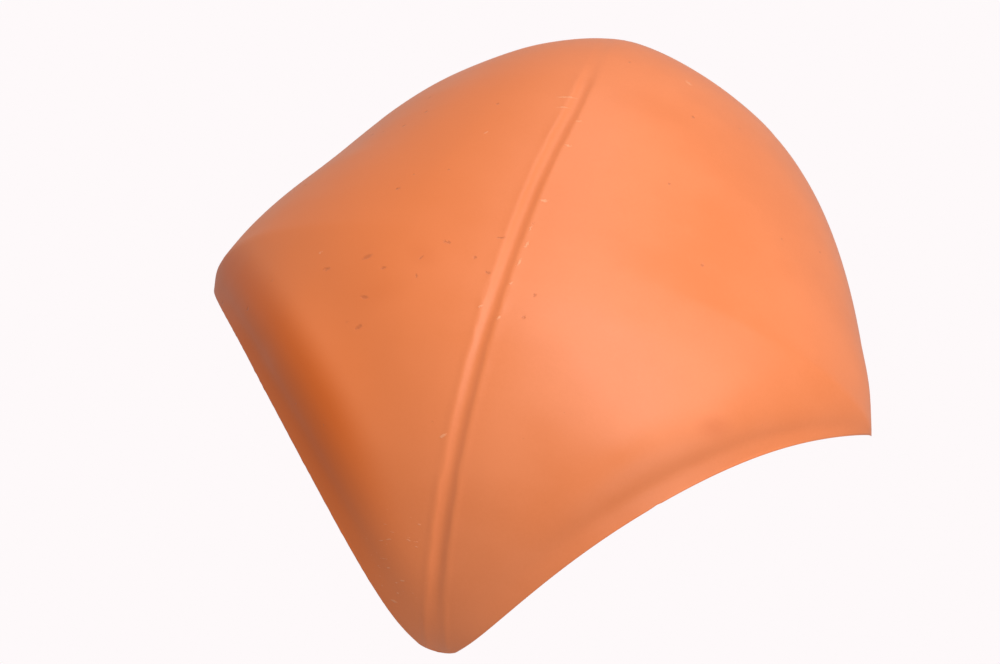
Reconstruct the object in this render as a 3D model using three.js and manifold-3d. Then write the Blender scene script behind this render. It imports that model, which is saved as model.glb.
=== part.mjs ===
// Hip end cap tile in fired clay: a hollow domed shell that covers the place where two hips meet a ridge.
// Millimetres, +Z up, nose towards -Y, ridge opening towards +Y, mirror plane X = 0.
// The origin is the centre of the footprint, at the level the feet stand on.
import * as THREE from "three";
import { mergeVertices } from "three/addons/utils/BufferGeometryUtils.js";
import Module from "manifold-3d";

const wasm = await Module();
wasm.setup();

// Overall sizes of the whole dome, before its openings are cut
const halfWidth = 177; // mirror plane to the outside of a side corner, at the feet
const domeLength = 358; // sharp nose point to the rear end of the dome
const crownHeight = 125; // feet to the top of the dome
const crownSetback = 148; // sharp nose point back to the top of the dome
const wall = 12; // thickness of the clay

// Nose and front cut-outs
const noseBlunting = 5; // how far the real nose stops short of the sharp nose point
const toeReach = 14; // length of nose left standing on the ground, in front of the cut-outs
const archRise = 69; // top of each front cut-out above the feet

// Opening for the ridge tile at the rear
const rearArchHalfWidth = 84;
const rearArchRise = 45;

// Shoulder: a soft ridge pressed up along each front edge, a little inside it
const shoulderRise = 8;
const shoulderSpread = 20; // from the ridge line to where it has fallen to a third
const shoulderInset = 3; // from the line between nose point and side corner, inwards

// Seam groove over the middle
const grooveWidth = 8;
const grooveDepth = 1.1;
const grooveFade = 16; // distance behind the nose over which the groove deepens from nothing

// Thickness of the first and last slice of the dome
const endSlice = 0.15;

// Pure shape numbers of the rounded outlines: 1 is a straight line, 2 an ellipse, more is squarer
const planPower = { front: [1.35, 1.6], rear: [1.05, 2.6] };
const seamPower = { front: [2.08, 1.54], rear: [1.53, 2.65] };
const archPower = [2.02, 1.29];
const sidePower = { nose: 2.1, rear: 1.7 };
const topPower = { nose: 2.51, rear: 1.3 };
// Where along the front edge the shoulder is highest, and how far it spreads, as shares of the edge
const shoulderMiddle = 0.55;
const shoulderLength = 0.3;

// Mesh fineness
const frontStations = 26;
const rearStations = 20;
const sideSteps = 16;
const archSteps = 28;

// The two front edges meet at a right angle in plan, so a side corner sits as far back as it sits out
const cornerSetback = halfWidth;
// What a cutter reaches past the clay it cuts
const overrun = 2 * wall;

const mix = (a, b, t) => a + (b - a) * t;
// Quarter of a rounded outline: 0 at t = 1, full at t = 0
const rounded = (t, [power, root]) => Math.pow(Math.max(1 - Math.pow(Math.min(t, 1), power), 0), 1 / root);
const bell = (t) => Math.exp(-t * t);

// Half width of the footprint at distance y behind the nose point, drawn in by the inset
function halfWidthAt(y, inset) {
  const reach = halfWidth - inset;
  if (y < cornerSetback) {
    return reach * rounded((cornerSetback - y) / (cornerSetback - inset), planPower.front);
  }
  return reach * rounded((y - cornerSetback) / (domeLength - inset - cornerSetback), planPower.rear);
}

// Height of the dome in the mirror plane
function seamHeightAt(y, inset) {
  const top = crownHeight - inset;
  if (y < crownSetback) {
    return top * rounded((crownSetback - y) / (crownSetback - inset), seamPower.front);
  }
  return top * rounded((y - crownSetback) / (domeLength - inset - crownSetback), seamPower.rear);
}

// Distance behind the nose point after the nose is blunted
function bluntedY(y, inset) {
  return inset + Math.hypot(y - inset, noseBlunting);
}

// Height that the shoulder adds at share s of the half width
function shoulderAt(x, depth, s) {
  const outward = (Math.abs(x) - depth) / Math.SQRT2;
  const along = (Math.abs(x) + depth) / (2 * cornerSetback);
  const ridge = bell((outward + shoulderInset) / shoulderSpread);
  return shoulderRise * ridge * bell((along - shoulderMiddle) / shoulderLength) * (1 - Math.pow(s, 12));
}

// Depth of the seam groove
function grooveAt(x, y) {
  const across = Math.max(1 - Math.pow(Math.abs(2 * x) / grooveWidth, 2), 0);
  return grooveDepth * across * Math.min(y / grooveFade, 1);
}

// Height of the dome at distance x from the mirror plane
function domeHeight(x, y, inset) {
  const s = Math.min(Math.abs(x) / halfWidthAt(y, inset), 1);
  const back = y / domeLength;
  const powers = [mix(sidePower.nose, sidePower.rear, back), mix(topPower.nose, topPower.rear, back)];
  return seamHeightAt(y, inset) * rounded(s, powers) + shoulderAt(x, bluntedY(y, inset), s);
}

// One closed cross section of the dome: middle of its base, up the right side, over and down the left.
// The base lies drop below the feet, so that a hollow cut with it runs out of the shell.
function crossSection(y, inset, drop, withGroove) {
  const reach = halfWidthAt(y, inset);
  const lip = Math.min(grooveWidth / 2, reach / 3);
  const half = [];
  for (let i = sideSteps; i >= 0; i -= 1) {
    half.push(lip + (reach - lip) * Math.sin((i / sideSteps) * Math.PI / 2));
  }
  half.push(lip / 2);
  const across = [...half, 0, ...half.map((x) => -x).reverse()];
  const place = bluntedY(y, inset);
  const over = across.map((x) => {
    const groove = withGroove ? grooveAt(x, y) : 0;
    return new THREE.Vector3(x, place, Math.max(domeHeight(x, y, inset) - groove, 0));
  });
  const base = [new THREE.Vector3(0, place, -drop)];
  if (drop > 0) {
    base.push(new THREE.Vector3(reach, place, -drop));
    over.push(new THREE.Vector3(-reach, place, -drop));
  }
  return [...base, ...over];
}

// Closed body through a row of cross sections with equally many points
function loft(sections) {
  const count = sections[0].length;
  const positions = sections.flat().flatMap((point) => [point.x, point.y, point.z]);
  const index = [];
  const last = sections.length - 1;
  for (let i = 0; i < count; i += 1) {
    const next = (i + 1) % count;
    for (let row = 0; row < last; row += 1) {
      const a = row * count + i;
      const b = row * count + next;
      index.push(a, b + count, b, a, a + count, b + count);
    }
    if (i > 0 && next > 0) {
      index.push(0, i, next);
      index.push(last * count, last * count + next, last * count + i);
    }
  }
  const geometry = new THREE.BufferGeometry();
  geometry.setAttribute("position", new THREE.Float32BufferAttribute(positions, 3));
  geometry.setIndex(index);
  return geometry;
}

// Stations along the dome: close together at its steep ends, one of them at the side corners
function stations(inset) {
  const list = [];
  for (let i = 0; i < frontStations; i += 1) {
    list.push(mix(inset + endSlice, cornerSetback, Math.pow(i / frontStations, 1.8)));
  }
  for (let i = rearStations; i >= 0; i -= 1) {
    list.push(mix(domeLength - inset - endSlice, cornerSetback, Math.pow(i / rearStations, 1.8)));
  }
  return list;
}

// The outside as a solid dome, or the hollow inside it, which runs out below the feet
function domeBody(inset, drop, withGroove) {
  return loft(stations(inset).map((y) => crossSection(y, inset, drop, withGroove)));
}

// Arch outline from start to end along its base line, standing on the level of the feet
function archOutline(start, end, rise) {
  const outline = new THREE.Shape();
  outline.moveTo(start, -overrun);
  for (let i = 0; i <= archSteps; i += 1) {
    const along = (1 - Math.cos((i / archSteps) * Math.PI)) / 2;
    outline.lineTo(mix(start, end, along), rise * rounded(Math.abs(2 * along - 1), archPower));
  }
  outline.lineTo(end, -overrun);
  return outline;
}

// Prism with an arch outline that starts at the nose point and runs along a base direction.
// near and far are the ends of the prism, counted square to the base line.
function archPrism(outline, baseDirection, near, far) {
  const geometry = new THREE.ExtrudeGeometry(outline, { depth: far - near, bevelEnabled: false });
  const up = new THREE.Vector3(0, 0, 1);
  const across = new THREE.Vector3().crossVectors(baseDirection, up);
  geometry.translate(0, 0, near);
  geometry.applyMatrix4(new THREE.Matrix4().makeBasis(baseDirection, up, across));
  return geometry;
}

// Cuts one front edge, on the line from the nose point to a side corner. side is 1 right and -1 left.
function frontCutter(side) {
  const outline = archOutline(toeReach / Math.SQRT2, Math.SQRT2 * cornerSetback, archRise);
  const inward = 1.5 * wall;
  const outward = halfWidth / 2;
  const alongEdge = new THREE.Vector3(side, 1, 0).normalize();
  return side > 0
    ? archPrism(outline, alongEdge, -inward, outward)
    : archPrism(outline, alongEdge, -outward, inward);
}

// Cuts the rear, from behind the side feet to past the end of the dome
function rearCutter() {
  const outline = archOutline(-rearArchHalfWidth, rearArchHalfWidth, rearArchRise);
  const start = mix(cornerSetback, domeLength, 0.3);
  return archPrism(outline, new THREE.Vector3(-1, 0, 0), start, domeLength + overrun);
}

function toSolid(geometry) {
  const bare = geometry.clone();
  bare.deleteAttribute("normal");
  bare.deleteAttribute("uv");
  const merged = mergeVertices(bare, 1e-4);
  const vertProperties = new Float32Array(merged.attributes.position.array);
  const triVerts = new Uint32Array(merged.index.array);
  return new wasm.Manifold(new wasm.Mesh({ numProp: 3, vertProperties, triVerts }));
}

function toGeometry(solid) {
  const mesh = solid.getMesh();
  const geometry = new THREE.BufferGeometry();
  geometry.setAttribute("position", new THREE.BufferAttribute(new Float32Array(mesh.vertProperties), 3));
  geometry.setIndex(new THREE.BufferAttribute(new Uint32Array(mesh.triVerts), 1));
  geometry.computeVertexNormals();
  return geometry;
}

const shell = toSolid(domeBody(0, 0, true))
  .subtract(toSolid(domeBody(wall, overrun, false)))
  .subtract(toSolid(frontCutter(1)))
  .subtract(toSolid(frontCutter(-1)))
  .subtract(toSolid(rearCutter()));

const geometry = toGeometry(shell);
geometry.computeBoundingBox();
const firedClay = new THREE.MeshStandardMaterial({ color: 0xd9794a, roughness: 0.75, metalness: 0 });

const tile = new THREE.Mesh(geometry, firedClay);
tile.name = "hip_end_cap";
tile.position.set(0, -(geometry.boundingBox.min.y + geometry.boundingBox.max.y) / 2, 0);

const part = new THREE.Group();
part.add(tile);

export default part;
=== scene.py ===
import math

import bpy
import numpy as np
from mathutils import Matrix, Vector, noise


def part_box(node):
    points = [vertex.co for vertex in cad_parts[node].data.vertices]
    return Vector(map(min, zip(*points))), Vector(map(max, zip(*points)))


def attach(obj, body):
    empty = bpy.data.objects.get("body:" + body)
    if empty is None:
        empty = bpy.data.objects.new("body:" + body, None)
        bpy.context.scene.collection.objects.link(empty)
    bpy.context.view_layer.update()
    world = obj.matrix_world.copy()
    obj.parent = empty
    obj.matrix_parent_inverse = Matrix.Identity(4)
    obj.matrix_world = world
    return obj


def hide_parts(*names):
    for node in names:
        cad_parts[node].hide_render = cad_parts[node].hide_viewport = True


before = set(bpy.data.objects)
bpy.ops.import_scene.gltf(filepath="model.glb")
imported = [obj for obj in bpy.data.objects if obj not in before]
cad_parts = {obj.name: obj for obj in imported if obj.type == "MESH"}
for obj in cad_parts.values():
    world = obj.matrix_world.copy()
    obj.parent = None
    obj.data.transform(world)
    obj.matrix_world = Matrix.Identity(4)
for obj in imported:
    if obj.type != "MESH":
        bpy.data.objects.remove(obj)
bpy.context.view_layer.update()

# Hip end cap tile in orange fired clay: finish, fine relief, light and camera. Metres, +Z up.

NODE = "hip_end_cap"
node_low, node_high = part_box(NODE)

# Sizes of the tile, in metres, as in the CAD solid
HALF_WIDTH = 0.177
DOME_LENGTH = 0.358
CROWN_HEIGHT = 0.125
CROWN_SETBACK = 0.148
WALL = 0.012
NOSE_BLUNTING = 0.005
TOE_REACH = 0.014
# The corners of the toe are rounded off: half width of its flat middle, the rise at its ends, and how soon
# the rounding ends behind the toe
TOE_FLAT = 0.002
TOE_ROUNDING = 0.0024
TOE_FADE_POWER = 8
ARCH_RISE = 0.069
REAR_ARCH_HALF_WIDTH = 0.084
REAR_ARCH_RISE = 0.045
SHOULDER_RISE = 0.008
SHOULDER_SPREAD = 0.020
SHOULDER_INSET = 0.003
CORNER_SETBACK = HALF_WIDTH
# The rear opening is cut from this share of the way between the side corners and the rear end
REAR_ARCH_FROM = 0.3
REAR_ARCH_START = CORNER_SETBACK + (DOME_LENGTH - CORNER_SETBACK) * REAR_ARCH_FROM
NOSE_Y = node_low.y - NOSE_BLUNTING

# Power and root of each rounded outline, as in the CAD solid
PLAN_FRONT = (1.35, 1.6)
PLAN_REAR = (1.05, 2.6)
SEAM_FRONT = (2.08, 1.54)
SEAM_REAR = (1.53, 2.65)
ARCH = (2.02, 1.29)
# Powers and roots of the cross sections, each at the nose and at the rear end
SIDE_POWER = (2.1, 1.7)
TOP_POWER = (2.51, 1.3)
# Where the shoulder is highest and how far it spreads, as shares of the front edge, and how steeply it ends
# at the ground
SHOULDER_MIDDLE = 0.55
SHOULDER_LENGTH = 0.3
SHOULDER_END_POWER = 12

# Seam groove: half width, depth in front, depth at the rear, length over which the depth changes at either
# end, where it turns shallow, and the lips beside it
GROOVE_HALF = 0.0042
GROOVE_DEPTH = 0.0010
GROOVE_DEPTH_REAR = 0.00015
GROOVE_FADE = 0.026
GROOVE_SHALLOW_FROM = 0.285
LIP_OFFSET = 0.0056
LIP_SPREAD = 0.0018
LIP_HEIGHT = 0.00022
# How round the groove's section is, and how much and how often its width and lips vary
GROOVE_ROUNDNESS = 1.5
GROOVE_WOBBLE = 0.15
WOBBLES_PER_METRE = 90
# The seam bows to the left of the mirror plane: how far, how deep behind the nose point and how widely
SEAM_BOW = 0.0020
SEAM_BOW_DEPTH = 0.215
SEAM_BOW_REACH = 0.055
# At the rear it strays further: how far at the rear end, from what depth and over what length
SEAM_STRAY = 0.0085
SEAM_STRAY_FROM = 0.265
SEAM_STRAY_LENGTH = 0.082
SEAM_STRAY_POWER = 1.6

# The clay turns out a little towards the front cut-outs, where it was trimmed
FLARE = 0.0009
FLARE_SPREAD = 0.0045
# Further in, the clay is pressed, and then swells slightly: depth or height, distance from the edge, spread
PRESS = (0.0012, 0.010, 0.008)
SWELL = (0.0010, 0.032, 0.013)
# Burrs along the left cut edge: height, how closely they follow each other, and the dips between them
BURR = 0.00035
BURRS_ALONG_EDGE = 140
BURR_DIP = -0.2
# How far burrs and nick reach in from the edge
CUT_EDGE_REACH = 0.0015
# One nick in the right cut edge: place and spread as shares of the edge, and depth
NICK_ALONG = 0.495
NICK_SPREAD = 0.005
NICK_DEPTH = 0.0009

# Soft unevenness of the hand-smoothed outside: height, length, middle value and octaves of its noise
WAVE_HEIGHT = 0.00035
WAVE_LENGTH = 0.045
WAVE_MIDDLE = 0.5
WAVE_OCTAVES = 2
# It fades out this close to the sides of the tile
WAVE_MARGIN = 0.02

# The two sides differ a little. The left corner is drawn in, and both flanks stand out behind the corners:
# how far, where behind the nose point, how far that spreads, and how high the swellings and the feet are
LEFT_DRAW = 0.0016
LEFT_DRAW_DEPTH = 0.168
LEFT_SWELL = 0.0016
LEFT_SWELL_DEPTH = 0.200
RIGHT_SWELL = 0.0022
RIGHT_SWELL_DEPTH = 0.203
SIDE_REACH = 0.026
LEFT_SWELL_HEIGHT = 0.054
RIGHT_SWELL_HEIGHT = 0.014
FOOT_HEIGHT = 0.010
# How closely this keeps to the sides
BESIDE_POWER = 4
# Behind the left swelling the dome is pressed flatter, fully from a share of its half width outwards
LEFT_PRESS = 0.0022
LEFT_PRESS_DEPTH = 0.258
LEFT_PRESS_REACH = 0.034
PRESS_FULL_FROM = 2 / 3
PRESS_POWER = 3

# Softened edges of the clay, and the largest share of a row or of the rim that they take
EDGE_RADIUS = 0.0016
EDGE_SHARE = 0.3

# Mesh fineness: rows across the dome, and points along half a row
TOE_ROWS = 12
ARCH_ROWS = 130
SIDE_ROWS = 60
REAR_ROWS = 50
GROOVE_STEPS = 8
OUTSIDE_STEPS = 96
INSIDE_STEPS = 40
EDGE_STEPS = 4
RIM_STEPS = 6
# Reach of the groove's own points, in half widths of the groove, and the largest share of a row they take
GROOVE_POINTS_REACH = 1.6
GROOVE_SHARE = 1 / 3
# Largest share of a row's width that the seam may stray
WANDER_SHARE = 1 / 4
# Least steepness of a row's end, as a share of the half width, and the step that its speed is measured over
LEAST_STEEPNESS = 0.2
SPEED_STEP = 0.02
# How far the rows crowd together at the nose, at both ends of a front cut-out and at the rear arch's foot
TOE_CROWDING = 1.5
ARCH_CROWDING = 0.7
REAR_CROWDING = 1.6
# The last row ends this far from the mirror plane, and no row ends nearer to it than the second value
REAR_GAP = 1e-4
LEAST_GAP = 1e-5

# Seam points that the rows at the side corners and at the ends of the rear arch start from
SEAM_AT_CORNER = 0.160
SEAM_AT_REAR_ARCH = 0.300


def mix(a, b, t):
    return a + (b - a) * t


def rounded(t, powers):
    """Quarter of a rounded outline: 0 at t = 1, full at t = 0."""
    return np.maximum(1 - np.clip(t, 0, 1) ** powers[0], 0) ** (1 / powers[1])


def bell(t):
    return np.exp(-t * t)


def half_width_at(y, inset):
    """Half width of the footprint at station y. The inset is 0 for the outside and WALL for the inside."""
    reach = HALF_WIDTH - inset
    front = reach * rounded((CORNER_SETBACK - y) / (CORNER_SETBACK - inset), PLAN_FRONT)
    rear = reach * rounded((y - CORNER_SETBACK) / (DOME_LENGTH - inset - CORNER_SETBACK), PLAN_REAR)
    return np.where(y < CORNER_SETBACK, front, rear)


def seam_height_at(y, inset):
    """Height of the dome in the mirror plane."""
    top = CROWN_HEIGHT - inset
    front = top * rounded((CROWN_SETBACK - y) / (CROWN_SETBACK - inset), SEAM_FRONT)
    rear = top * rounded((y - CROWN_SETBACK) / (DOME_LENGTH - inset - CROWN_SETBACK), SEAM_REAR)
    return np.where(y < CROWN_SETBACK, front, rear)


def blunted_y(y, inset):
    """Distance of station y behind the nose point after the nose is blunted."""
    return inset + np.hypot(y - inset, NOSE_BLUNTING)


def station_at(depth, inset):
    """Station whose blunted distance behind the nose point is depth."""
    return inset + np.sqrt(np.maximum((depth - inset) ** 2 - NOSE_BLUNTING ** 2, 0))


def shoulder_at(x, depth, s):
    """Height of the soft ridge that was pressed up a little inside each front edge."""
    outward = (np.abs(x) - depth) / math.sqrt(2)
    along = (np.abs(x) + depth) / (2 * CORNER_SETBACK)
    ridge = bell((outward + SHOULDER_INSET) / SHOULDER_SPREAD)
    length = bell((along - SHOULDER_MIDDLE) / SHOULDER_LENGTH)
    return SHOULDER_RISE * ridge * length * (1 - s ** SHOULDER_END_POWER)


def dome_height(x, y, inset):
    """Height of the dome at distance x from the mirror plane and station y."""
    reach = np.maximum(half_width_at(y, inset), 1e-9)
    s = np.clip(np.abs(x) / reach, 0, 1)
    side = mix(SIDE_POWER[0], SIDE_POWER[1], y / DOME_LENGTH)
    top = mix(TOP_POWER[0], TOP_POWER[1], y / DOME_LENGTH)
    section = np.maximum(1 - s ** side, 0) ** (1 / top)
    return seam_height_at(y, inset) * section + shoulder_at(x, blunted_y(y, inset), s)


def on_dome(x, y, inset):
    """Points of the dome at distance x from the mirror plane and station y."""
    return np.stack([x, blunted_y(y, inset), dome_height(x, y, inset)], axis=-1)


def front_arch(along):
    """Height of the front cut-outs at a share of the way from nose point to side corner."""
    start = TOE_REACH / (2 * CORNER_SETBACK)
    share = np.clip((along - start) / (1 - start), 0, 1)
    nose = (NOSE_BLUNTING + TOE_FLAT) / (2 * CORNER_SETBACK)
    toe = TOE_ROUNDING * np.clip((along - nose) / (start - nose), 0, 1) ** 2
    return np.hypot(ARCH_RISE * rounded(np.abs(2 * share - 1), ARCH), toe * (1 - share) ** TOE_FADE_POWER)


def rear_arch(x):
    """Height of the rear opening."""
    return REAR_ARCH_RISE * rounded(np.abs(x) / REAR_ARCH_HALF_WIDTH, ARCH)


def cut_height(x, depth):
    """Height of the openings over any point of the ground."""
    front = front_arch((np.abs(x) + depth) / (2 * CORNER_SETBACK))
    return np.where(depth > REAR_ARCH_START, rear_arch(x), front)


def bisect(is_inside, inside, outside):
    """Where a test changes between two rows of numbers. It holds on the inside."""
    for _ in range(45):
        middle = (inside + outside) / 2
        hit = is_inside(middle)
        inside = np.where(hit, middle, inside)
        outside = np.where(hit, outside, middle)
    return inside


def front_edge(along, inset):
    """Distance from the mirror plane and station at which the dome meets a front cut-out or the toe."""
    reach = 2 * CORNER_SETBACK * along

    def stands(x):
        return dome_height(x, station_at(reach - x, inset), inset) > front_arch(along)

    x = bisect(stands, 0 * along, reach - inset - NOSE_BLUNTING)
    return x, station_at(reach - x, inset)


def rear_edge(x, inset):
    """Station at which the dome meets the rear opening, x to the side of the mirror plane."""
    start = REAR_ARCH_START + 0 * x
    end = DOME_LENGTH - inset + 0 * x
    return bisect(lambda y: dome_height(x, y, inset) > rear_arch(x), start, end)


def first_along(inset):
    """Share of the front edge from which on the dome stands above the cut-outs in the mirror plane."""
    def hidden(along):
        y = station_at(2 * CORNER_SETBACK * along, inset)
        return dome_height(0 * y, y, inset) <= front_arch(along)

    low = np.array([(inset + NOSE_BLUNTING) / (2 * CORNER_SETBACK)])
    search = 0.05
    margin = 1e-6
    return bisect(hidden, low, low + search)[0] + margin


def edge_curve(inset):
    """Distance from the mirror plane and station of every row's lower end, and its seam station."""
    nose = NOSE_BLUNTING / (2 * CORNER_SETBACK)
    arch_start = TOE_REACH / (2 * CORNER_SETBACK)
    toe = nose + (arch_start - nose) * (np.arange(TOE_ROWS) / TOE_ROWS) ** TOE_CROWDING
    v = np.arange(ARCH_ROWS + 1) / ARCH_ROWS
    crowded = (1 - np.cos(math.pi * v)) / 2
    over_arch = mix(arch_start, 1.0, mix(v, crowded, ARCH_CROWDING))
    along = np.concatenate([toe, over_arch])
    first = first_along(inset)
    along = along + (first - nose) * (1 - (along - nose) / (1 - nose)) ** 2
    front_x, front_y = front_edge(along, inset)

    rear_x = REAR_ARCH_HALF_WIDTH * (1 - (np.arange(1, REAR_ROWS + 1) / REAR_ROWS) ** REAR_CROWDING)
    rear_x[-1] = REAR_GAP
    rear_y = rear_edge(rear_x, inset)
    corner_y = front_y[-1]
    arch_foot_y = rear_edge(np.array([REAR_ARCH_HALF_WIDTH]), inset)[0]
    share = np.arange(1, SIDE_ROWS + 1) / SIDE_ROWS
    side_y = mix(corner_y, arch_foot_y, share)
    side_x = half_width_at(side_y, inset)

    seam_first = front_y[0] + 2 * LEAST_GAP
    front_seam = mix(seam_first, SEAM_AT_CORNER, (front_y - front_y[0]) / (corner_y - front_y[0]))
    side_seam = mix(SEAM_AT_CORNER, SEAM_AT_REAR_ARCH - inset, share)
    rear_seam = mix(SEAM_AT_REAR_ARCH - inset, rear_y[-1], 1 - rear_x / REAR_ARCH_HALF_WIDTH)
    x = np.concatenate([front_x, side_x, rear_x])
    y = np.concatenate([front_y, side_y, rear_y])
    return np.maximum(x, LEAST_GAP), y, np.concatenate([front_seam, side_seam, rear_seam])


def seam_wander(depth):
    """How far the seam strays from the mirror plane, at each depth behind the nose point."""
    bow = SEAM_BOW * bell((depth - SEAM_BOW_DEPTH) / SEAM_BOW_REACH)
    behind = np.maximum(depth - SEAM_STRAY_FROM, 0) / SEAM_STRAY_LENGTH
    return -bow - SEAM_STRAY * behind ** SEAM_STRAY_POWER


def trimmed_edge(points, at_edge, side):
    """Outside points turned out and pressed in near the front cut-outs, with burrs on the left and a nick
    on the right."""
    away = np.linalg.norm(points - at_edge, axis=1)
    along = (np.abs(at_edge[:, 0]) + at_edge[:, 1]) / (2 * CORNER_SETBACK)
    share = np.where(at_edge[:, 1] > REAR_ARCH_START, 0, front_arch(along) / ARCH_RISE)
    turn = FLARE * np.exp(-away / FLARE_SPREAD)
    turn = turn - PRESS[0] * bell((away - PRESS[1]) / PRESS[2])
    turn = turn + SWELL[0] * bell((away - SWELL[1]) / SWELL[2])
    turn = turn * share
    near = np.exp(-away / CUT_EDGE_REACH)
    if side < 0:
        ragged = np.array([noise.noise(Vector((a * BURRS_ALONG_EDGE, 0, 0))) for a in along])
        turn = turn + BURR * share * near * np.maximum(ragged, BURR_DIP)
    else:
        turn = turn - NICK_DEPTH * near * bell((along - NICK_ALONG) / NICK_SPREAD)
    return points + turn[:, None] * np.array([side, -1, 0]) / math.sqrt(2)


def half_section(inset, side, steps, with_groove):
    """One half of the dome: rows of points from the seam to just before the edge, and the edge itself."""
    edge_x, edge_y, seam_y = edge_curve(inset)
    limit = edge_x * WANDER_SHARE
    wander = np.clip(seam_wander(blunted_y(seam_y, inset)), -limit, limit) * with_groove

    def at(g):
        """Points at a share g of the way from the seam to the edge."""
        x = side * edge_x * g + wander * (1 - g * g) ** 2
        return on_dome(x, mix(seam_y, edge_y, g), inset)

    steepness = np.arcsin(np.clip(edge_x / half_width_at(edge_y, inset), LEAST_STEEPNESS, 1))
    at_edge = at(np.ones_like(edge_x))
    near = at(np.sin(steepness * (1 - SPEED_STEP)) / np.sin(steepness))
    speed = np.linalg.norm(at_edge - near, axis=1) / (steepness * SPEED_STEP)
    last = steepness - np.minimum(EDGE_RADIUS / speed, steepness * EDGE_SHARE)
    widest = edge_x * np.sin(last) * GROOVE_SHARE
    lip = np.minimum(GROOVE_HALF * GROOVE_POINTS_REACH, widest) * with_groove
    columns = [lip / edge_x * k / GROOVE_STEPS for k in range(GROOVE_STEPS * with_groove)]
    lip_angle = np.arcsin(lip / edge_x * np.sin(steepness))
    for k in range(steps + 1):
        columns.append(np.sin(mix(lip_angle, last, k / steps)) / np.sin(steepness))
    if with_groove:
        rows = [trimmed_edge(at(g), at_edge, side) for g in columns]
        return np.stack(rows, axis=1), trimmed_edge(at_edge, at_edge, side)
    return np.stack([at(g) for g in columns], axis=1), at_edge


def soften(before, corner, after):
    """Points of a small rounded corner between before and after."""
    shares = np.arange(1, EDGE_STEPS) / EDGE_STEPS
    return [before * (1 - t) ** 2 + corner * 2 * t * (1 - t) + after * t ** 2 for t in shares]


def rim_rows(outer_last, outer_edge, inner_edge, inner_last, settle):
    """Rows of points over a rim: rounded corner, flat rim, rounded corner."""
    span = np.linalg.norm(inner_edge - outer_edge, axis=-1, keepdims=True)
    inset = np.minimum(EDGE_RADIUS / np.maximum(span, 1e-6), EDGE_SHARE)
    flat = [settle(outer_edge + (inner_edge - outer_edge) * (inset + (1 - 2 * inset) * k / RIM_STEPS))
            for k in range(RIM_STEPS + 1)]
    return soften(outer_last, outer_edge, flat[0]) + flat + soften(flat[-1], inner_edge, inner_last)


def on_cut(points):
    """Settle points of a rim on the cut-out surface or on the ground."""
    settled = points.copy()
    settled[..., 2] = cut_height(points[..., 0], points[..., 1])
    return settled


def half_loop(side):
    """Rows from the seam down the outside, over the rim and up the inside, on one side of the tile."""
    outer, outer_edge = half_section(0.0, side, OUTSIDE_STEPS, True)
    inner, inner_edge = half_section(WALL, side, INSIDE_STEPS, False)
    rim = np.stack(rim_rows(outer[:, -1], outer_edge, inner_edge, inner[:, -1], on_cut), axis=1)
    return outer, rim, inner[:, ::-1]


def shell_mesh():
    """Vertices, quads and end triangles of the shell, and which vertices are on its outside."""
    outer, rim, inner = half_loop(1)
    right = np.concatenate([outer, rim, inner], axis=1)
    left = np.concatenate(half_loop(-1), axis=1)[:, ::-1]
    # One closed loop for each row: right side, then the left side without the two shared middle points
    loop = np.concatenate([right, left[:, 1:-1]], axis=1)
    rows, count = loop.shape[:2]
    vertices = loop.reshape(-1, 3)
    quads = []
    for i in range(rows - 1):
        for j in range(count):
            k = (j + 1) % count
            quads.append((i * count + j, i * count + k, (i + 1) * count + k, (i + 1) * count + j))
    outer_count = outer.shape[1]
    rim_count = rim.shape[1]
    full = right.shape[1]
    # Loop places of the outside, of the inside and of the rims, each from left to right or downwards
    outside = [(count - j) % count for j in range(outer_count - 1, 0, -1)] + list(range(outer_count))
    inside_first = outer_count + rim_count
    inside = [count - j for j in range(inside_first, full)] + list(range(full - 2, inside_first - 1, -1))
    right_rim = list(range(outer_count, inside_first))
    left_rim = [count - j for j in right_rim]

    def close(row, is_rear):
        """Fill the loop of one end row: outside, one line for each rim point, inside."""
        base = row * count
        lines = [outside] + [[left_rim[k], right_rim[k]] for k in range(rim_count)] + [inside]
        for a, b in zip(lines[:-1], lines[1:]):
            stitch([base + j for j in a], [base + j for j in b], is_rear)

    def stitch(a, b, is_rear):
        """Triangles between two rows of points with different counts and shared ends."""
        i = 0
        j = 0
        while i < len(a) - 1 or j < len(b) - 1:
            a_is_behind = (i + 1) * (len(b) - 1) <= (j + 1) * (len(a) - 1)
            take_a = j == len(b) - 1 or (i < len(a) - 1 and a_is_behind)
            face = (a[i], a[i + 1], b[j]) if take_a else (a[i], b[j + 1], b[j])
            i += take_a
            j += not take_a
            caps.append(face if is_rear else face[::-1])

    caps = []
    close(0, False)
    close(rows - 1, True)
    is_outside = np.zeros(len(vertices), bool)
    for i in range(rows):
        is_outside[[i * count + j for j in outside]] = True
    return vertices, quads, caps, is_outside


def vertex_normals(vertices, quads, caps):
    """Directions that point out of the clay, one for each vertex."""
    normals = np.zeros_like(vertices)
    corners = vertices[quads]
    face = np.cross(corners[:, 2] - corners[:, 0], corners[:, 3] - corners[:, 1])
    for k in range(4):
        np.add.at(normals, quads[:, k], face)
    corners = vertices[caps]
    face = np.cross(corners[:, 1] - corners[:, 0], corners[:, 2] - corners[:, 0])
    for k in range(3):
        np.add.at(normals, caps[:, k], face)
    return normals / np.maximum(np.linalg.norm(normals, axis=1, keepdims=True), 1e-20)


def beside(vertices, depth):
    """1 at the sides of the dome, a given depth behind the nose point, and 0 away from there."""
    outwards = np.clip(np.abs(vertices[:, 0]) / HALF_WIDTH, 0, 1) ** BESIDE_POWER
    return bell((vertices[:, 1] - depth) / SIDE_REACH) * outwards


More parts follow.
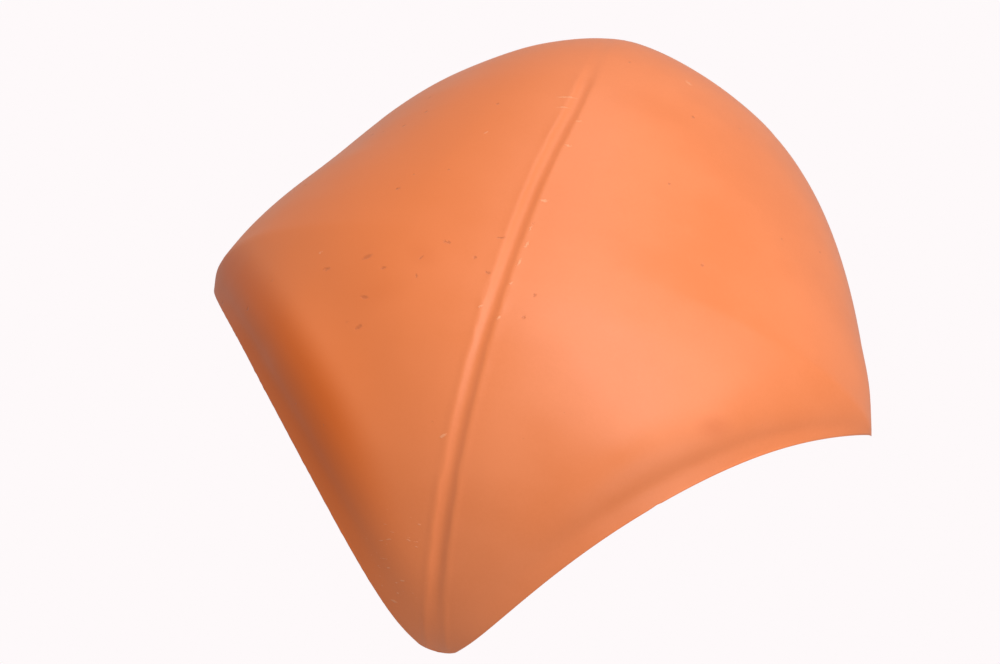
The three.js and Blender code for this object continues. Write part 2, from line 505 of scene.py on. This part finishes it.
def flanks(vertices):
    """How far the outside stands out or is pressed in beside and behind the side corners."""
    left = vertices[:, 0] < 0
    height = vertices[:, 2]
    left_swell = LEFT_SWELL * beside(vertices, LEFT_SWELL_DEPTH)
    left_swell = left_swell * bell((height - LEFT_SWELL_HEIGHT) / SIDE_REACH)
    right_swell = RIGHT_SWELL * beside(vertices, RIGHT_SWELL_DEPTH)
    right_swell = right_swell * bell((height - RIGHT_SWELL_HEIGHT) / SIDE_REACH)
    outwards = np.clip(np.abs(vertices[:, 0]) / (HALF_WIDTH * PRESS_FULL_FROM), 0, 1) ** PRESS_POWER
    pressed = LEFT_PRESS * bell((vertices[:, 1] - LEFT_PRESS_DEPTH) / LEFT_PRESS_REACH) * outwards * left
    push = np.where(left, left_swell, right_swell) - pressed
    return push * np.clip(height / FOOT_HEIGHT, 0, 1)


def relief(vertices, normals, is_outside):
    """Outside with the seam groove pressed in, its lips raised, soft waves and the flanks shaped."""
    depth = vertices[:, 1]
    x = vertices[:, 0] - seam_wander(depth)
    wobble = np.array([noise.noise(Vector((d * WOBBLES_PER_METRE, 3, 0))) for d in depth])
    half = GROOVE_HALF * (1 + GROOVE_WOBBLE * wobble)
    across = np.clip(1 - (x / half) ** 2, 0, 1) ** GROOVE_ROUNDNESS
    back = np.clip((depth - GROOVE_SHALLOW_FROM) / GROOVE_FADE, 0, 1)
    groove = mix(GROOVE_DEPTH, GROOVE_DEPTH_REAR, back) * across * np.clip(depth / GROOVE_FADE, 0, 1)
    lips = bell((np.abs(x) - LIP_OFFSET) / LIP_SPREAD) * LIP_HEIGHT * (1 + wobble) * (1 - back)
    waves = np.array([noise.fractal(Vector(v) / WAVE_LENGTH, 1.0, 2.0, WAVE_OCTAVES) for v in vertices])
    fade = np.clip((HALF_WIDTH - np.abs(vertices[:, 0])) / WAVE_MARGIN, 0, 1)
    push = lips - groove + WAVE_HEIGHT * (waves - WAVE_MIDDLE) * fade + flanks(vertices)
    shaped = vertices + normals * (push * is_outside)[:, None]
    shaped[:, 0] += LEFT_DRAW * beside(vertices, LEFT_DRAW_DEPTH) * (vertices[:, 0] < 0)
    return shaped


def build_tile():
    """The whole clay shell as one smooth mesh."""
    vertices, quads, caps, is_outside = shell_mesh()
    normals = vertex_normals(vertices, np.array(quads), np.array(caps))
    vertices = relief(vertices, normals, is_outside)
    # Nothing reaches past the solid's box
    vertices = np.clip(vertices + np.array([0, NOSE_Y, 0]), node_low, node_high)
    mesh = bpy.data.meshes.new("hip_end_cap_clay")
    mesh.from_pydata(vertices.tolist(), [], quads + caps)
    mesh.validate()
    mesh.polygons.foreach_set("use_smooth", np.ones(len(mesh.polygons), bool))
    mesh.update()
    tile = bpy.data.objects.new("hip_end_cap_clay", mesh)
    bpy.context.scene.collection.objects.link(tile)
    return tile


# Pits and dark dabs: distance right of the mirror plane, distance behind the nose point, length and width in
# millimetres, turn in degrees
PITS = (
    (-34, 169, 4.0, 1.4, -20), (-8, 177, 3.6, 1.2, 10), (-44, 158, 2.6, 1.0, 60), (-43, 147, 2.4, 0.9, -60),
    (-8, 155, 3.0, 1.2, -20), (-65, 117, 3.0, 2.2, 30), (-73, 156, 5.0, 2.4, 25), (-62, 150, 2.6, 1.4, 0),
    (-67, 133, 4.0, 1.4, -15), (-93, 149, 3.4, 2.0, 0),
)
# Pale burrs and flecks of clay, given in the same way
FLECKS = (
    (5.2, 205, 3.6, 1.6, 10), (4.4, 186, 3.0, 0.8, 85), (5.6, 176, 4.0, 1.0, 80), (5.4, 165, 4.4, 1.0, 82),
    (5.3, 152, 1.8, 1.0, 60), (-5.4, 136, 1.8, 1.0, 45), (5.0, 132, 2.0, 1.2, 60), (-7.3, 72, 3.6, 1.1, 30),
    (-39, 245, 1.8, 0.8, 50), (42, 322, 4.0, 1.2, -30), (-7, 278, 9.0, 0.9, 12), (-100, 159, 1.4, 1.1, 0),
    (4.4, 262, 3.0, 1.1, 20), (5.0, 244, 4.0, 0.9, 8), (-6, 270, 6.0, 0.8, 15),
)
# Soft darker dabs, given in the same way
SMUDGES = (
    (117, 119, 18, 9, 40), (-60, 136, 30, 16, 20), (-44, 160, 20, 12, -30),
)
# Painted shade: a browner, more saturated tone along the left flank, which faces away from the light.
# Distances outwards from the line between nose point and side corner: where it begins, is full, begins to
# fade and has faded. Then distances left of the mirror plane between which it sets in.
FLANK_SHADE = (-0.021, -0.004, 0.008, 0.018)
FLANK_SHADE_START = (0.008, 0.075)
# What is left of it further out
FLANK_SHADE_END = 0.55
# Painted shade: a softer, browner tone over the whole left side, which faces away from the light, sets in
# between these distances left of the mirror plane
LEFT_SHADE_START = (-0.030, 0.070)
# Patch of fine scratches left of the nose: centre and reach, counted like the marks. Then their direction,
# their noise's scale, and the values it has in between and in the scratches.
SCRATCHES = (-22, 27, 22)
SCRATCH_TURN = 0.7
SCRATCH_SCALE = (220, 1100, 400)
SCRATCH_RANGE = (0.69, 0.77)
# Small specks all over: cells per metre, the part of the cells that have one, and the specks' soft edge
SPECK_CELLS = 75.0
SPECK_CHOICE = (0.60, 0.64)
SPECK_EDGE = (0.09, 0.04)
# The outlines of marks are made ragged by a fine noise: its scale, and how far it moves them
RAGGED_SCALE = 900.0
RAGGED_REACH = 0.0026

# Tone of the clay: scales of its clouds and grain, direction and scale of the smoothing streaks
CLOUD_SCALE = 16.0
GRAIN_SCALE = 520.0
STREAK_TURN = 0.6
STREAK_SCALE = (12, 48, 24)
CLOUD_WEIGHT = 0.75
STREAK_WEIGHT = 0.25
GRAIN_WEIGHT = 0.2
TONE_RANGE = (0.30, 0.70)
# Colours of the clay, and how fully the marks take theirs
DEEP_CLAY = (0.756, 0.199, 0.059, 1)
PALE_CLAY = (0.800, 0.223, 0.075, 1)
# Painted shade of the left side, which faces away from the light
LEFT_SHADE_COLOUR = (0.790, 0.190, 0.042, 1)
# Painted shade along the left flank
FLANK_SHADE_COLOUR = (0.700, 0.128, 0.006, 1)
SMUDGE_COLOUR = (0.60, 0.125, 0.030, 1)
DARK_COLOUR = (0.40, 0.090, 0.030, 1)
PALE_COLOUR = (0.90, 0.42, 0.22, 1)
SMUDGE_SHARE = 0.30
LEFT_SHADE_SHARE = 0.75
DARK_SHARE = 0.36
PALE_SHARE = 0.5
# Gloss of the clay
ROUGHNESS_RANGE = (0.38, 0.46)
SPECULAR_LEVEL = 0.5
SHEEN = 0.06
SHEEN_ROUGHNESS = 0.4
# Heights that only the shading shows, and how strongly
GRAIN_HEIGHT = 0.00006
STREAK_HEIGHT = 0.00010
DARK_DEPTH = 0.00030
PALE_HEIGHT = 0.00022
BUMP_STRENGTH = 0.6


class Nodes:
    """Short spelling for a material's node tree."""

    def __init__(self, name):
        self.material = bpy.data.materials.new(name)
        self.material.use_nodes = True
        self.tree = self.material.node_tree
        self.shader = self.tree.nodes["Principled BSDF"]

    def put(self, kind, inputs=(), **settings):
        """Add a node, set it up and return it. Inputs that are sockets are linked, others are values."""
        node = self.tree.nodes.new(kind)
        for key, value in settings.items():
            setattr(node, key, value)
        for key, value in dict(inputs).items():
            self.feed(node.inputs[key], value)
        return node

    def feed(self, socket, value):
        if isinstance(value, bpy.types.NodeSocket):
            self.tree.links.new(value, socket)
        else:
            socket.default_value = value

    def math(self, operation, a, b=0.0):
        return self.put("ShaderNodeMath", {0: a, 1: b}, operation=operation).outputs[0]

    def ramp(self, value, low, high, to_low=0.0, to_high=1.0):
        """Spread a value from low..high over to_low..to_high."""
        numbers = {0: value, 1: low, 2: high, 3: to_low, 4: to_high}
        return self.put("ShaderNodeMapRange", numbers, interpolation_type="SMOOTHSTEP").outputs[0]

    def noise(self, place, scale, detail=2.0, roughness=0.5):
        inputs = {"Vector": place, "Scale": scale, "Detail": detail, "Roughness": roughness}
        return self.put("ShaderNodeTexNoise", inputs).outputs[0]

    def moved(self, place, location=(0, 0, 0), rotation=(0, 0, 0), scale=(1, 1, 1), kind="POINT"):
        inputs = {"Vector": place, "Location": location, "Rotation": rotation, "Scale": scale}
        return self.put("ShaderNodeMapping", inputs, vector_type=kind).outputs[0]

    def mixed(self, share, a, b):
        return self.put("ShaderNodeMix", {0: share, 6: a, 7: b}, data_type="RGBA").outputs[2]


def mark_field(nodes, place, marks, softest=0.4):
    """1 inside the marks and 0 away from them."""
    total = 0.0
    for x, depth, length, width, turn in marks:
        local = nodes.moved(place, (x / 1000, NOSE_Y + depth / 1000, 0), (0, 0, math.radians(turn)),
                            (length / 2000, width / 2000, 10.0), "TEXTURE")
        far = nodes.put("ShaderNodeVectorMath", {0: local}, operation="LENGTH").outputs[1]
        total = nodes.math("MAXIMUM", total, nodes.ramp(far, 1.5, softest))
    return total


def ragged_place(nodes, place):
    """The place, moved to and fro a little, so that marks get ragged outlines."""
    shift = nodes.noise(place, RAGGED_SCALE, 2.0)
    shift = nodes.put("ShaderNodeVectorMath", {0: shift, 1: (-0.5, -0.5, -0.5)}).outputs[0]
    shift = nodes.put("ShaderNodeVectorMath", {0: shift, 3: RAGGED_REACH}, operation="SCALE").outputs[0]
    return nodes.put("ShaderNodeVectorMath", {0: place, 1: shift}).outputs[0]


def speck_field(nodes, place):
    """1 inside the small specks and 0 away from them."""
    cells = nodes.put("ShaderNodeTexVoronoi", {"Vector": place, "Scale": SPECK_CELLS})
    chosen = nodes.ramp(cells.outputs["Color"], *SPECK_CHOICE)
    return nodes.math("MULTIPLY", chosen, nodes.ramp(cells.outputs["Distance"], *SPECK_EDGE))


def scratch_field(nodes, place):
    """1 inside the fine scratches, less towards the border of their patch."""
    x, depth, reach = SCRATCHES
    near = nodes.moved(place, (x / 1000, NOSE_Y + depth / 1000, 0), scale=(reach / 1000, reach / 1000, 10.0),
                       kind="TEXTURE")
    near = nodes.put("ShaderNodeVectorMath", {0: near}, operation="LENGTH").outputs[1]
    lines = nodes.moved(place, rotation=(0, 0, SCRATCH_TURN), scale=SCRATCH_SCALE)
    lines = nodes.noise(lines, 1.0, 1.0)
    return nodes.math("MULTIPLY", nodes.ramp(near, 1.0, 0.5), nodes.ramp(lines, *SCRATCH_RANGE))


def flank_shade_field(nodes, left, behind):
    """Painted shade along the left flank: 1 there and 0 away from it."""
    outward = nodes.math("MULTIPLY", nodes.math("SUBTRACT", left, behind), 1 / math.sqrt(2))
    before = nodes.ramp(outward, *FLANK_SHADE[:2])
    past = nodes.ramp(outward, *FLANK_SHADE[2:], 1.0, FLANK_SHADE_END)
    return nodes.math("MULTIPLY", nodes.math("MULTIPLY", before, past), nodes.ramp(left, *FLANK_SHADE_START))


def clay_colour(nodes, place, noises, dark, pale):
    """Mottled tone of the clay, with painted shade on its left side and along its left flank, smudges, dark
    and pale marks.
    """
    clouds, streaks, grain = noises
    clouds = nodes.math("MULTIPLY", clouds, CLOUD_WEIGHT)
    tone = nodes.math("ADD", clouds, nodes.math("MULTIPLY", streaks, STREAK_WEIGHT))
    grain = nodes.math("SUBTRACT", grain, 0.5)
    tone = nodes.math("ADD", tone, nodes.math("MULTIPLY", grain, GRAIN_WEIGHT))
    colour = nodes.mixed(nodes.ramp(tone, *TONE_RANGE), DEEP_CLAY, PALE_CLAY)
    smudges = nodes.math("MULTIPLY", mark_field(nodes, place, SMUDGES, 0.0), SMUDGE_SHARE)
    colour = nodes.mixed(smudges, colour, SMUDGE_COLOUR)
    parts = nodes.put("ShaderNodeSeparateXYZ", {0: place}).outputs
    left = nodes.math("MULTIPLY", parts[0], -1.0)
    behind = nodes.math("SUBTRACT", parts[1], NOSE_Y)
    # Painted shade: the left side, which faces away from the light, turns browner
    left_shade = nodes.math("MULTIPLY", nodes.ramp(left, *LEFT_SHADE_START), LEFT_SHADE_SHARE)
    colour = nodes.mixed(left_shade, colour, LEFT_SHADE_COLOUR)
    # Painted shade: stronger along the left flank
    colour = nodes.mixed(flank_shade_field(nodes, left, behind), colour, FLANK_SHADE_COLOUR)
    colour = nodes.mixed(nodes.math("MULTIPLY", dark, DARK_SHARE), colour, DARK_COLOUR)
    return nodes.mixed(nodes.math("MULTIPLY", pale, PALE_SHARE), colour, PALE_COLOUR)


def clay_bump(nodes, streaks, grain, dark, pale):
    """Shading of the grain, the faint smoothing streaks, the pits and the flecks."""
    height = nodes.math("MULTIPLY", grain, GRAIN_HEIGHT)
    height = nodes.math("ADD", height, nodes.math("MULTIPLY", streaks, STREAK_HEIGHT))
    height = nodes.math("SUBTRACT", height, nodes.math("MULTIPLY", dark, DARK_DEPTH))
    height = nodes.math("ADD", height, nodes.math("MULTIPLY", pale, PALE_HEIGHT))
    bump = nodes.put("ShaderNodeBump", {"Height": height, "Distance": 1.0, "Strength": BUMP_STRENGTH})
    return bump.outputs[0]


def clay_material():
    """Unglazed, mottled orange clay."""
    nodes = Nodes("fired_clay")
    place = nodes.put("ShaderNodeTexCoord").outputs["Object"]
    marked = ragged_place(nodes, place)
    clouds = nodes.noise(place, CLOUD_SCALE, 3.0, 0.55)
    streaks = nodes.moved(place, rotation=(0, 0, STREAK_TURN), scale=STREAK_SCALE)
    streaks = nodes.noise(streaks, 1.0, 2.0, 0.5)
    grain = nodes.noise(place, GRAIN_SCALE, 3.0, 0.6)
    dark = nodes.math("MAXIMUM", mark_field(nodes, marked, PITS), speck_field(nodes, marked))
    pale = nodes.math("MAXIMUM", mark_field(nodes, marked, FLECKS), scratch_field(nodes, place))
    rough = nodes.ramp(nodes.math("ADD", clouds, streaks), 0.7, 1.3, *ROUGHNESS_RANGE)

    inputs = nodes.shader.inputs
    nodes.feed(inputs["Base Color"], clay_colour(nodes, place, (clouds, streaks, grain), dark, pale))
    nodes.feed(inputs["Roughness"], rough)
    nodes.feed(inputs["Normal"], clay_bump(nodes, streaks, grain, dark, pale))
    inputs["Specular IOR Level"].default_value = SPECULAR_LEVEL
    inputs["Sheen Weight"].default_value = SHEEN
    inputs["Sheen Roughness"].default_value = SHEEN_ROUGHNESS
    return nodes.material


# The floor shines evenly in the tone of the photograph's background and throws no light on the tile
FLOOR_SIZE = 12
FLOOR_COLOUR = (0.991, 0.947, 0.956, 1)


def add_floor():
    bpy.ops.mesh.primitive_plane_add(size=FLOOR_SIZE, location=(0, 0, 0))
    floor = bpy.context.object
    floor.name = "floor"
    material = bpy.data.materials.new("pale_floor")
    material.use_nodes = True
    shader = material.node_tree.nodes["Principled BSDF"]
    shader.inputs["Base Color"].default_value = (0.0, 0.0, 0.0, 1)
    shader.inputs["Roughness"].default_value = 1.0
    shader.inputs["Specular IOR Level"].default_value = 0.0
    shader.inputs["Emission Color"].default_value = FLOOR_COLOUR
    shader.inputs["Emission Strength"].default_value = 1.0
    floor.data.materials.append(material)
    floor.visible_diffuse = False
    floor.visible_glossy = False


# Camera: direction from the tile and roll in degrees, distance and scale, worked out from the outline
CAMERA_ELEVATION = 59.46
CAMERA_AZIMUTH = 26.8
CAMERA_ROLL = -10.99
CAMERA_DISTANCE = 3.33
PIXELS_PER_METRE = 1984.0
IMAGE_WIDTH = 1000
IMAGE_HEIGHT = 664
SENSOR_WIDTH = 36.0
CAMERA_SIGHT = 50
# A point in the middle of the tile, and where it lies in the photograph
TILE_MIDDLE = Vector((0, NOSE_Y + 0.15, 0.05))
MIDDLE_PIXEL = (514.13, 359.13)


def toward(azimuth, elevation):
    """Direction from the tile, azimuth counted from the nose round to the right, both in degrees."""
    a = math.radians(azimuth)
    e = math.radians(elevation)
    return Vector((math.cos(e) * math.sin(a), -math.cos(e) * math.cos(a), math.sin(e)))


def add_camera():
    backwards = toward(CAMERA_AZIMUTH, CAMERA_ELEVATION)
    level = toward(CAMERA_AZIMUTH + 90, 0)
    upright = backwards.cross(level)
    roll = math.radians(CAMERA_ROLL)
    right = level * math.cos(roll) + upright * math.sin(roll)
    up = -level * math.sin(roll) + upright * math.cos(roll)
    target = TILE_MIDDLE
    target = target - right * ((MIDDLE_PIXEL[0] - IMAGE_WIDTH / 2) / PIXELS_PER_METRE)
    target = target + up * ((MIDDLE_PIXEL[1] - IMAGE_HEIGHT / 2) / PIXELS_PER_METRE)
    data = bpy.data.cameras.new("camera")
    data.sensor_width = SENSOR_WIDTH
    data.lens = PIXELS_PER_METRE * CAMERA_DISTANCE * SENSOR_WIDTH / IMAGE_WIDTH
    data.clip_end = CAMERA_SIGHT
    camera = bpy.data.objects.new("camera", data)
    rotation = Matrix((right, up, backwards)).transposed().to_4x4()
    camera.matrix_world = Matrix.Translation(target + backwards * CAMERA_DISTANCE) @ rotation
    bpy.context.scene.collection.objects.link(camera)
    bpy.context.scene.camera = camera


# Softboxes: distance, size, and for each its direction in degrees and its power in watts
SOFTBOX_DISTANCE = 1.6
SOFTBOX_SIZE = 0.9
KEY_DIRECTIONS = ((120, 65), (90, 65), (120, 40), (90, 40), (150, 65), (60, 65), (180, 65))
KEY_POWER = 2.84
LOW_DIRECTION = (60, 15)
LOW_POWER = 3.8
REAR_DIRECTION = (185, 32)
REAR_POWER = 3.2
WORLD_STRENGTH = 0.46


def add_softbox(name, direction, power):
    data = bpy.data.lights.new(name, "AREA")
    data.shape = "DISK"
    data.size = SOFTBOX_SIZE
    data.energy = power
    light = bpy.data.objects.new(name, data)
    aim = toward(*direction).normalized()
    light.location = aim * SOFTBOX_DISTANCE
    light.rotation_euler = aim.to_track_quat("Z", "Y").to_euler()
    bpy.context.scene.collection.objects.link(light)


def add_light():
    """A bank of equal softboxes over the right side of the tile, a low one, a rear one and an even world."""
    for direction in KEY_DIRECTIONS:
        add_softbox("key_softbox", direction, KEY_POWER)
    add_softbox("low_softbox", LOW_DIRECTION, LOW_POWER)
    add_softbox("rear_softbox", REAR_DIRECTION, REAR_POWER)
    world = bpy.data.worlds.new("studio")
    world.use_nodes = True
    background = world.node_tree.nodes["Background"]
    background.inputs["Color"].default_value = (1, 1, 1, 1)
    background.inputs["Strength"].default_value = WORLD_STRENGTH
    bpy.context.scene.world = world


bpy.context.scene.view_settings.view_transform = "Standard"
tile = build_tile()
tile.data.materials.append(clay_material())
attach(tile, "root")
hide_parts(NODE)
add_floor()
add_camera()
add_light()
